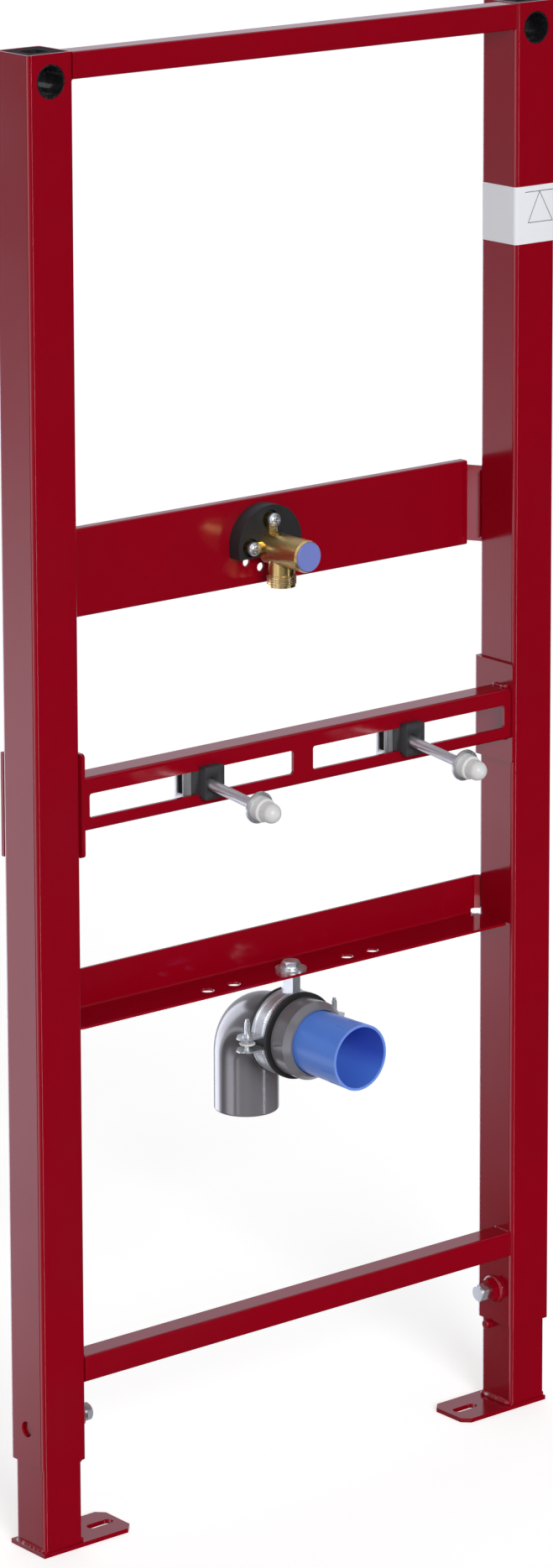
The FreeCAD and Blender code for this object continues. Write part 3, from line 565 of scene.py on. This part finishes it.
def settle(piece, smooth=math.radians(35)):
    """Leaves the piece at the origin, outward and smooth."""
    clear_selection()
    piece.select_set(True)
    bpy.context.view_layer.objects.active = piece
    bpy.ops.object.transform_apply(location=True, rotation=True, scale=True)
    bpy.ops.object.mode_set(mode="EDIT")
    bpy.ops.mesh.select_all(action="SELECT")
    bpy.ops.mesh.normals_make_consistent(inside=False)
    bpy.ops.object.mode_set(mode="OBJECT")
    bpy.ops.object.shade_smooth_by_angle(angle=smooth)
    return piece


def dress(piece, material, body):
    """Gives a new piece its finish and the body that it rides on."""
    piece.data.materials.clear()
    piece.data.materials.append(bpy.data.materials[material])
    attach(piece, body)
    return piece


def along(points, step, closed=False):
    """Places and directions at even steps along straight runs."""
    corners = [Vector(p) for p in points]
    if closed:
        corners.append(corners[0])
    places = []
    for start, end in zip(corners, corners[1:]):
        count = max(1, round((end - start).length / step))
        for i in range(count):
            places.append((start.lerp(end, i / count), (end - start).normalized()))
    places.append((corners[-1], (corners[-1] - corners[-2]).normalized()))
    return places


def weld_bead(name, points, radius, seed, body, swell=0.0, closed=False):
    """Rippled weld bead: a disc extruded along its line with an uneven girth."""
    draw = random.Random(seed)
    places = along([[c * MM for c in p] for p in points], radius * BEAD_STEP, closed)
    start, heading = places[0]
    turn = heading.to_track_quat("Z", "Y").to_euler()
    clear_selection()
    bpy.ops.mesh.primitive_circle_add(
        vertices=10, radius=radius * BEAD_END, fill_type="NGON", location=start, rotation=turn
    )
    bead = named(name)
    bpy.ops.object.transform_apply(location=True, rotation=True, scale=True)
    edit(bead)
    bpy.ops.mesh.select_all(action="SELECT")
    girth, drift = BEAD_END, 0.0
    last = len(places) - 1
    for i, (place, direction) in enumerate(places[1:], 1):
        step = place - places[i - 1][0]
        bpy.ops.mesh.extrude_region_move(TRANSFORM_OT_translate={"value": step})
        bend = places[i - 1][1].rotation_difference(direction)
        if bend.angle > 1e-3:
            bpy.ops.transform.rotate(
                value=-bend.angle,
                orient_axis="Z",
                orient_matrix=bend.axis.to_track_quat("Z", "Y").to_matrix(),
                orient_type="GLOBAL",
                center_override=place,
            )
        # The girth wanders slowly and ripples from ring to ring.
        drift = 0.75 * drift + draw.uniform(-0.09, 0.10)
        ripple = 0.95 + drift + draw.uniform(-0.03, 0.03)
        bulge = 1.0 + swell * math.sin(math.pi * i / last)
        wanted = (BEAD_END if i == last and not closed else ripple) * bulge
        bpy.ops.transform.resize(value=(wanted / girth,) * 3, center_override=place)
        girth = wanted
    bpy.ops.object.mode_set(mode="OBJECT")
    apply_modifier(bead, "SUBSURF", levels=1, render_levels=1)
    settle(bead, math.radians(80))
    return dress(bead, "weld", body)


def on_side(points, side):
    """Points of the right-hand side, turned over for the left."""
    return [(side * x, y, z) for x, y, z in points]


def thread_ridge(name, radius, pitch, height, turns, steps):
    """Helical ridge round the Z axis: a small outline, wound up by the Screw modifier."""
    clear_selection()
    bpy.ops.mesh.primitive_plane_add(
        size=1.0, location=(radius, 0, 0), rotation=(math.pi / 2, 0, 0)
    )
    ridge = named(name)
    ridge.scale = (height * 2.0, pitch * 0.78, 1.0)
    bpy.ops.object.transform_apply(location=True, rotation=True, scale=True)
    pick(ridge, "VERT", lambda place: place.x > radius)
    bpy.ops.transform.resize(value=(1.0, 1.0, 0.3), center_override=(radius, 0, 0))
    bpy.ops.mesh.select_all(action="SELECT")
    bpy.ops.mesh.delete(type="ONLY_FACE")
    bpy.ops.object.mode_set(mode="OBJECT")
    apply_modifier(
        ridge,
        "SCREW",
        axis="Z",
        screw_offset=pitch,
        iterations=turns,
        steps=steps,
        render_steps=steps,
        use_smooth_shade=False,
    )
    edit(ridge, "VERT")
    bpy.ops.mesh.select_all(action="SELECT")
    bpy.ops.mesh.remove_doubles(threshold=1e-6)
    bpy.ops.mesh.fill_holes(sides=6)
    bpy.ops.object.mode_set(mode="OBJECT")
    return ridge


class FRAME_OT_finishes(bpy.types.Operator):
    """Makes the finishes and gives every CAD node its own"""

    bl_idname = "urinal_frame.finishes"
    bl_label = "Finishes"

    def execute(self, context):
        made = all_finishes()
        for name, node in NODES.items():
            node.data.materials.clear()
            node.data.materials.append(made[finish_of(name)])
        return {"FINISHED"}


class FRAME_OT_foot_welds(bpy.types.Operator):
    """Weld beads where the legs stand on their foot plates"""

    bl_idname = "urinal_frame.foot_welds"
    bl_label = "Foot welds"

    def execute(self, context):
        radius = sizes().foot_bead
        outer = [(247.2, 14.5, 4.6), (247.2, -18.6, 4.6)]
        inner = [(212.0, 14.8, 4.8), (212.0, -18.8, 4.8)]
        for side, word in SIDES:
            name, body = word + "_foot_weld_", word + "_leg_group"
            weld_bead(name + "outer", on_side(outer, side), radius, 11 + side, body, 0.1)
            weld_bead(name + "inner", on_side(inner, side), radius * 1.15, 21 + side, body, 0.2)
        return {"FINISHED"}


class FRAME_OT_bar_welds(bpy.types.Operator):
    """Weld beads at the ends of the cross tubes, the channel and the valve plate"""

    bl_idname = "urinal_frame.bar_welds"
    bl_label = "Bar welds"

    def execute(self, context):
        thin = sizes().bar_bead
        thick = sizes().bracket_bead
        runs = {
            "bottom_bar_weld_front": ([(209.0, -20.9, 130), (209.0, -20.9, 146)], thin),
            "bottom_bar_weld_top": ([(209.4, -4, 148.2), (209.4, -19.5, 148.2)], thin * 1.7),
            "top_bar_weld_low": ([(209.4, -4, 1099.3), (209.4, -19.5, 1099.3)], thin * 1.5),
            "channel_weld_front": ([(206.8, -21.2, 552), (206.8, -21.2, 584)], thin * 0.6),
            "channel_weld_top": ([(206.0, -3, 588.6), (206.0, -19.5, 588.6)], thick),
            "channel_weld_low": ([(206.0, -5, 547.6), (206.0, -17.5, 547.6)], thick * 0.75),
            "plate_weld": ([(209.6, 18.6, 700), (209.6, 18.6, 753)], thin * 1.2),
        }
        knob = [(205.6, -17.2, 589.6), (205.6, -20.0, 588.8)]
        for side, word in SIDES:
            for number, (name, (points, radius)) in enumerate(runs.items()):
                points = on_side(points, side)
                weld_bead(word + "_" + name, points, radius, 40 + number + side, "frame")
            weld_bead(word + "_channel_weld_knob", on_side(knob, side), thick * 1.45, 70, "frame")
        return {"FINISHED"}


class FRAME_OT_nut_welds(bpy.types.Operator):
    """Weld rings round the lock nuts"""

    bl_idname = "urinal_frame.nut_welds"
    bl_label = "Nut welds"

    def execute(self, context):
        low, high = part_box("right_lock_nut")
        middle = (low + high) / 2 / MM
        ring = []
        for i in range(NUT_RING_POINTS):
            angle = 2 * math.pi * i / NUT_RING_POINTS
            y, z = NUT_RING_R * math.cos(angle), NUT_RING_R * math.sin(angle)
            ring.append((NUT_RING_X, middle.y + y, middle.z + z))
        radius = sizes().nut_bead
        for side, word in SIDES:
            points = on_side(ring, side)
            weld_bead(word + "_nut_weld", points, radius, 90 + side, "frame", closed=True)
        return {"FINISHED"}


class FRAME_OT_label(bpy.types.Operator):
    """White height label round the right upright, with its level mark"""

    bl_idname = "urinal_frame.label"
    bl_label = "Height label"

    def execute(self, context):
        size = sizes()
        low, high = size.label_low, size.label_high
        x0, x1 = POST_LEFT - PRINT_GAP, POST_RIGHT + PRINT_GAP
        y0, y1 = POST_FRONT - PRINT_GAP, POST_BACK + PRINT_GAP
        clear_selection()
        bpy.ops.mesh.primitive_cube_add(
            size=1.0, location=((x0 + x1) / 2, (y0 + y1) / 2, (low + high) / 2)
        )
        label = named("height_label")
        label.scale = (x1 - x0, y1 - y0, high - low)
        bpy.ops.object.transform_apply(location=True, rotation=True, scale=True)
        pick(label, "FACE", lambda centre, normal: abs(normal.z) > 0.9)
        bpy.ops.mesh.delete(type="ONLY_FACE")
        pick(label, "EDGE", lambda start, end: abs(start.z - end.z) > 0.01)
        bpy.ops.mesh.bevel(offset=POST_CORNER + PRINT_GAP, segments=8, affect="EDGES")
        pick(label, "FACE", lambda centre, normal: normal.y > 0.98 or normal.x > 0.98)
        bpy.ops.mesh.delete(type="FACE")
        bpy.ops.object.mode_set(mode="OBJECT")
        apply_modifier(label, "SOLIDIFY", thickness=size.film, offset=1.0, use_even_offset=True)
        settle(label)
        dress(label, "label", "frame")
        self.level_mark(y0 - size.film, size.mark_line)
        return {"FINISHED"}

    def level_mark(self, face_y, width):
        """A level line over a triangle, thin printed strokes."""
        apex, left, right = (234.0, 974.1), (222.4, 950.7), (247.2, 950.5)
        strokes = {
            "line": ((219.5, 974.4), (249.3, 974.4)),
            "left": (apex, left),
            "right": (apex, right),
            "foot": (left, right),
        }
        made = []
        for word, (start, end) in strokes.items():
            a, b = Vector((start[0], 0, start[1])) * MM, Vector((end[0], 0, end[1])) * MM
            run = b - a
            clear_selection()
            bpy.ops.mesh.primitive_plane_add(
                size=1.0,
                location=((a.x + b.x) / 2, face_y - PRINT_GAP, (a.z + b.z) / 2),
                rotation=(math.pi / 2, -math.atan2(run.z, run.x), 0),
            )
            stroke = named("level_mark_" + word)
            stroke.scale = (run.length + width * 0.6, width, 1.0)
            bpy.ops.object.transform_apply(location=True, rotation=True, scale=True)
            apply_modifier(stroke, "SOLIDIFY", thickness=PRINT_T, offset=0.0)
            made.append(stroke)
        clear_selection()
        for stroke in made:
            stroke.select_set(True)
        bpy.context.view_layer.objects.active = made[0]
        bpy.ops.object.join()
        mark = named("level_mark")
        settle(mark)
        dress(mark, "mark", "frame")


class FRAME_OT_threads(bpy.types.Operator):
    """Threads on the brass neck and on the clamp screws"""

    bl_idname = "urinal_frame.threads"
    bl_label = "Threads"

    def execute(self, context):
        size = sizes()
        neck = thread_ridge(
            "neck_thread", NECK_R * MM, size.neck_pitch, height=0.62 * MM, turns=4, steps=48
        )
        neck.location = (0, NECK_Y * MM, NECK_THREAD_Z * MM)
        settle(neck)
        dress(neck, "brass", "frame")
        for side, word in SIDES:
            name = word + "_clamp_thread"
            screw = thread_ridge(
                name, SCREW_R * MM, size.screw_pitch, height=0.17 * MM, turns=12, steps=20
            )
            screw.location = (side * SCREW_X * MM, SCREW_Y * MM, SCREW_THREAD_Z * MM)
            settle(screw)
            dress(screw, "zinc", "frame")
        return {"FINISHED"}


class FRAME_OT_stud_sets(bpy.types.Operator):
    """Slide cages and clips with the short left end that shows in the slots"""

    bl_idname = "urinal_frame.stud_sets"
    bl_label = "Stud sets"

    def execute(self, context):
        for word in ("left", "right"):
            low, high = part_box(word + "_stud")
            middle = (low.x + high.x) / 2
            for part, reach, finish in (
                # The cage's zinc is a darker copy with painted shade.
                ("slide_cage", CAGE_REACH, "zinc_dull_shaded"),
                ("stud_clip", CLIP_REACH, "black_plastic"),
            ):
                node = word + "_" + part
                piece = self.shortened(node, middle - reach * MM)
                dress(piece, finish, word + "_stud_group")
                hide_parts(node)
            self.end_frame(word, middle - CAGE_REACH * MM)
        return {"FINISHED"}

    def end_frame(self, word, end):
        """Flat end of the cage with a tall window in it."""
        low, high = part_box(word + "_slide_cage")
        middle = (end, (low.y + high.y) / 2, (low.z + high.z) / 2)
        wide, tall = high.y - low.y - END_MARGIN * MM, high.z - low.z - END_MARGIN * MM
        clear_selection()
        bpy.ops.mesh.primitive_plane_add(
            size=1.0, location=middle, rotation=(0, -math.pi / 2, 0)
        )
        piece = named(word + "_cage_end")
        bpy.ops.object.transform_apply(location=True, rotation=True, scale=True)
        edit(piece)
        bpy.ops.mesh.select_all(action="SELECT")
        bpy.ops.transform.resize(value=(1, wide, tall), center_override=middle)
        bpy.ops.mesh.inset(thickness=END_RIM * MM)
        share = END_WINDOW * MM / (tall - 2 * END_RIM * MM)
        bpy.ops.transform.resize(value=(1, 0.94, share), center_override=middle)
        bpy.ops.mesh.delete(type="FACE")
        bpy.ops.object.mode_set(mode="OBJECT")
        apply_modifier(piece, "SOLIDIFY", thickness=END_T * MM, offset=1.0)
        apply_modifier(piece, "BEVEL", width=END_BEVEL * MM, segments=2)
        settle(piece, math.radians(40))
        dress(piece, "zinc_dull_shaded", word + "_stud_group")

    def shortened(self, node, end):
        """Copy of a node cut off square at its left end."""
        clear_selection()
        piece = bpy.data.objects.new("short_" + node, NODES[node].data.copy())
        bpy.context.scene.collection.objects.link(piece)
        edit(piece, "VERT")
        bpy.ops.mesh.select_all(action="SELECT")
        bpy.ops.mesh.remove_doubles(threshold=1e-6)
        bpy.ops.mesh.bisect(
            plane_co=(end, 0, 0), plane_no=(-1, 0, 0), use_fill=True, clear_outer=True
        )
        return settle(piece, math.radians(30))


class FRAME_OT_casting_seam(bpy.types.Operator):
    """Casting seam along the lower left side of the valve's barrel"""

    bl_idname = "urinal_frame.casting_seam"
    bl_label = "Casting seam"

    def execute(self, context):
        angle = math.radians(SEAM_ANGLE)
        x, z = -BARREL_R * math.cos(angle), BARREL_Z - BARREL_R * math.sin(angle)
        place = Vector((x, BARREL_BACK, z)) * MM
        step = Vector((0, -SEAM_STEP, 0)) * MM
        clear_selection()
        bpy.ops.mesh.primitive_circle_add(
            vertices=12,
            radius=SEAM_R * MM,
            fill_type="NGON",
            location=place,
            rotation=(math.pi / 2, 0, 0),
        )
        seam = named("casting_seam")
        bpy.ops.object.transform_apply(location=True, rotation=True, scale=True)
        edit(seam)
        bpy.ops.mesh.select_all(action="SELECT")
        draw = random.Random(5)
        girth = 1.0
        for i in range(1, SEAM_STEPS + 1):
            bpy.ops.mesh.extrude_region_move(TRANSFORM_OT_translate={"value": step})
            uneven = SEAM_UNEVEN
            wanted = SEAM_END if i == SEAM_STEPS else 1.0 + draw.uniform(-uneven, uneven)
            middle = place + i * step
            bpy.ops.transform.resize(value=(wanted / girth,) * 3, center_override=middle)
            girth = wanted
        bpy.ops.object.mode_set(mode="OBJECT")
        settle(seam, math.radians(70))
        dress(seam, "brass", "frame")
        return {"FINISHED"}


class FRAME_OT_stage(bpy.types.Operator):
    """Pale floor, soft studio light and the camera"""

    bl_idname = "urinal_frame.stage"
    bl_label = "Stage"

    def execute(self, context):
        self.floor()
        self.world()
        self.lamps()
        self.camera()
        return {"FINISHED"}

    def seen_rays(self, board):
        """1 for rays from the camera and for mirrored or refracted ones."""
        rays = board.tree.nodes.new("ShaderNodeLightPath")
        camera = Wire(board.tree, rays.outputs["Is Camera Ray"])
        glossy = Wire(board.tree, rays.outputs["Is Glossy Ray"])
        through = Wire(board.tree, rays.outputs["Is Transmission Ray"])
        return camera.top(glossy).top(through)

    def floor(self):
        """Wide white floor that glows a little, so that it fades into the backdrop."""
        clear_selection()
        bpy.ops.mesh.primitive_plane_add(size=FLOOR_SIZE, location=(0, 0, 0))
        floor = named("floor")
        pale = Finish("floor_white", roughness=0.9, Base_Color=(0.80, 0.80, 0.80, 1.0))
        pale.feed("Specular IOR Level", 0.0)
        pale.feed("Emission Color", (1.0, 1.0, 1.0, 1.0))
        pale.feed("Emission Strength", self.seen_rays(pale) * FLOOR_GLOW)
        floor.data.materials.append(pale.material)
        floor.visible_glossy = False

    def mirrored_studio(self, board):
        """What glossy surfaces mirror: a pale room, dark to the front right, and soft boxes."""
        way = board.node("ShaderNodeTexCoord", output="Generated")
        level = board.node("ShaderNodeMapping", {"Vector": way, "Scale": (1.0, 1.0, 0.0)})
        flat = board.node("ShaderNodeVectorMath", {0: level}, operation="NORMALIZE")
        x = board.node("ShaderNodeSeparateXYZ", {"Vector": flat}, output=0)
        y = board.node("ShaderNodeSeparateXYZ", {"Vector": flat}, output=1)
        z = board.node("ShaderNodeSeparateXYZ", {"Vector": way}, output=2)

        def rise(value, low, high):
            """Soft step from 0 at the low value to 1 at the high one."""
            inputs = {"Value": value, "From Min": low, "From Max": high}
            return board.node("ShaderNodeMapRange", inputs, interpolation_type="SMOOTHSTEP")

        def toward(left_of_front):
            """1 for rays that head that many degrees left of the front, less beside it."""
            angle = math.radians(left_of_front)
            return x * -math.sin(angle) + y * -math.cos(angle)

        # The room: its back half, its dark side and the dark low part at the back left.
        back = rise(y, -0.30, 0.20)
        dark = rise(toward(-40.0), 0.20, 0.60)
        foot = (1.0 - rise(z + y * 1.24, 0.58, 0.67)) * rise(toward(142.0), 0.86, 0.97)
        room = (back * (rise(x, -0.35, 0.25) * 0.36 + 0.13) + 0.34) * (1.0 - dark * 0.97)
        room = room * (1.0 - foot * 0.97) * (1.0 - rise(z, 0.38, 0.60) * 0.50)
        # The soft boxes: at the left, at the back, low at the back left, a narrow strip
        # to the front right, and the ceiling.
        beside = rise(toward(90.0), 0.86, 0.995) * rise(z, -0.60, -0.35)
        behind = rise(toward(168.0), 0.935, 0.972) * (1.0 - rise((z - 0.02).size(), 0.36, 0.48))
        glow = rise(toward(150.0), 0.90, 0.96) * (1.0 - rise(z, -0.26, -0.15)) * (1.0 - foot)
        strip = rise(toward(-26.5), 0.9995, 0.9999) * (1.0 - rise(z.size(), 0.45, 0.55))
        above = rise(z, 0.62, 0.82)
        boxes = beside * SIDE_BOX + behind * BACK_BOX + glow * BACK_GLOW
        return room + boxes + strip * FRONT_STRIP + above * CEILING

    def world(self):
        """White backdrop, weak even light, and the mirrored studio for glossy rays."""
        world = bpy.data.worlds.new("studio")
        world.use_nodes = True
        bpy.context.scene.world = world
        board = Board(world.node_tree)
        end = board.tree.nodes.new("ShaderNodeOutputWorld")
        level = bpy.context.scene.frame_stage.ambient
        rays = board.tree.nodes.new("ShaderNodeLightPath")
        glossy = Wire(board.tree, rays.outputs["Is Glossy Ray"])
        plain = self.seen_rays(board) * (1.0 - level) + level
        strength = plain * (1.0 - glossy) + self.mirrored_studio(board) * glossy
        tint = board.node(
            "ShaderNodeMix",
            {0: glossy, 6: (1.0, 1.0, 1.0, 1.0), 7: (0.86, 0.88, 1.0, 1.0)},
            output=2,
            data_type="RGBA",
        )
        glow = board.node("ShaderNodeBackground", {"Color": tint, "Strength": strength})
        board.tree.links.new(glow.socket, end.inputs["Surface"])

    def sun(self, name, direction, strength, width, mirrored=True):
        """Sun lamp that shines from a direction, as wide as the given angle."""
        data = bpy.data.lights.new(name, "SUN")
        data.energy = strength
        data.angle = math.radians(width)
        lamp = bpy.data.objects.new(name, data)
        lamp.rotation_euler = Vector(direction).to_track_quat("Z", "Y").to_euler()
        lamp.visible_glossy = mirrored
        bpy.context.scene.collection.objects.link(lamp)

    def lamps(self):
        """A frontal light from the left and a weaker one from behind."""
        stage = bpy.context.scene.frame_stage
        self.sun("front_light", (-0.35, -0.87, 0.36), stage.key, 24.0)
        self.sun("rear_light", (0.55, 0.70, 0.55), stage.fill, 60.0, mirrored=False)

    def camera(self):
        """The photo's camera with a smaller lens shift."""
        stage = bpy.context.scene.frame_stage
        data = bpy.data.cameras.new("camera")
        data.sensor_fit = "AUTO"
        data.sensor_width = 36.0
        data.lens = stage.lens
        data.shift_x, data.shift_y = SHIFT_X, SHIFT_Y
        data.clip_start, data.clip_end = 0.1, 200.0
        camera = bpy.data.objects.new("camera", data)
        camera.location = stage.place
        camera.rotation_euler = (math.pi / 2 - stage.dip, 0.0, -stage.heading)
        bpy.context.scene.collection.objects.link(camera)
        bpy.context.scene.camera = camera
        bpy.context.scene.view_settings.view_transform = "Standard"


class FRAME_PT_panel(bpy.types.Panel):
    """Steps and sizes of the mounting frame"""

    bl_label = "Mounting frame"
    bl_idname = "FRAME_PT_panel"
    bl_space_type = "VIEW_3D"
    bl_region_type = "UI"
    bl_category = "Frame"

    def draw(self, context):
        for step in STEPS:
            self.layout.operator(step.bl_idname)
        for group in ("frame_colours", "frame_sizes", "frame_stage"):
            box = self.layout.box()
            holder = getattr(context.scene, group)
            for name in holder.__annotations__:
                box.prop(holder, name)


STEPS = (
    FRAME_OT_finishes,
    FRAME_OT_foot_welds,
    FRAME_OT_bar_welds,
    FRAME_OT_nut_welds,
    FRAME_OT_label,
    FRAME_OT_threads,
    FRAME_OT_casting_seam,
    FRAME_OT_stud_sets,
    FRAME_OT_stage,
)
GROUPS = {
    "frame_colours": FrameColours,
    "frame_sizes": FrameSizes,
    "frame_stage": FrameStage,
}


def register():
    for kind in (*GROUPS.values(), *STEPS, FRAME_PT_panel):
        bpy.utils.register_class(kind)
    for name, kind in GROUPS.items():
        setattr(bpy.types.Scene, name, bpy.props.PointerProperty(type=kind))


def unregister():
    for name in GROUPS:
        delattr(bpy.types.Scene, name)
    for kind in reversed((*GROUPS.values(), *STEPS, FRAME_PT_panel)):
        bpy.utils.unregister_class(kind)


def main():
    """Runs every step."""
    register()
    bpy.ops.urinal_frame.finishes()
    bpy.ops.urinal_frame.foot_welds()
    bpy.ops.urinal_frame.bar_welds()
    bpy.ops.urinal_frame.nut_welds()
    bpy.ops.urinal_frame.label()
    bpy.ops.urinal_frame.threads()
    bpy.ops.urinal_frame.casting_seam()
    bpy.ops.urinal_frame.stud_sets()
    bpy.ops.urinal_frame.stage()


if __name__ == "__main__":
    main()
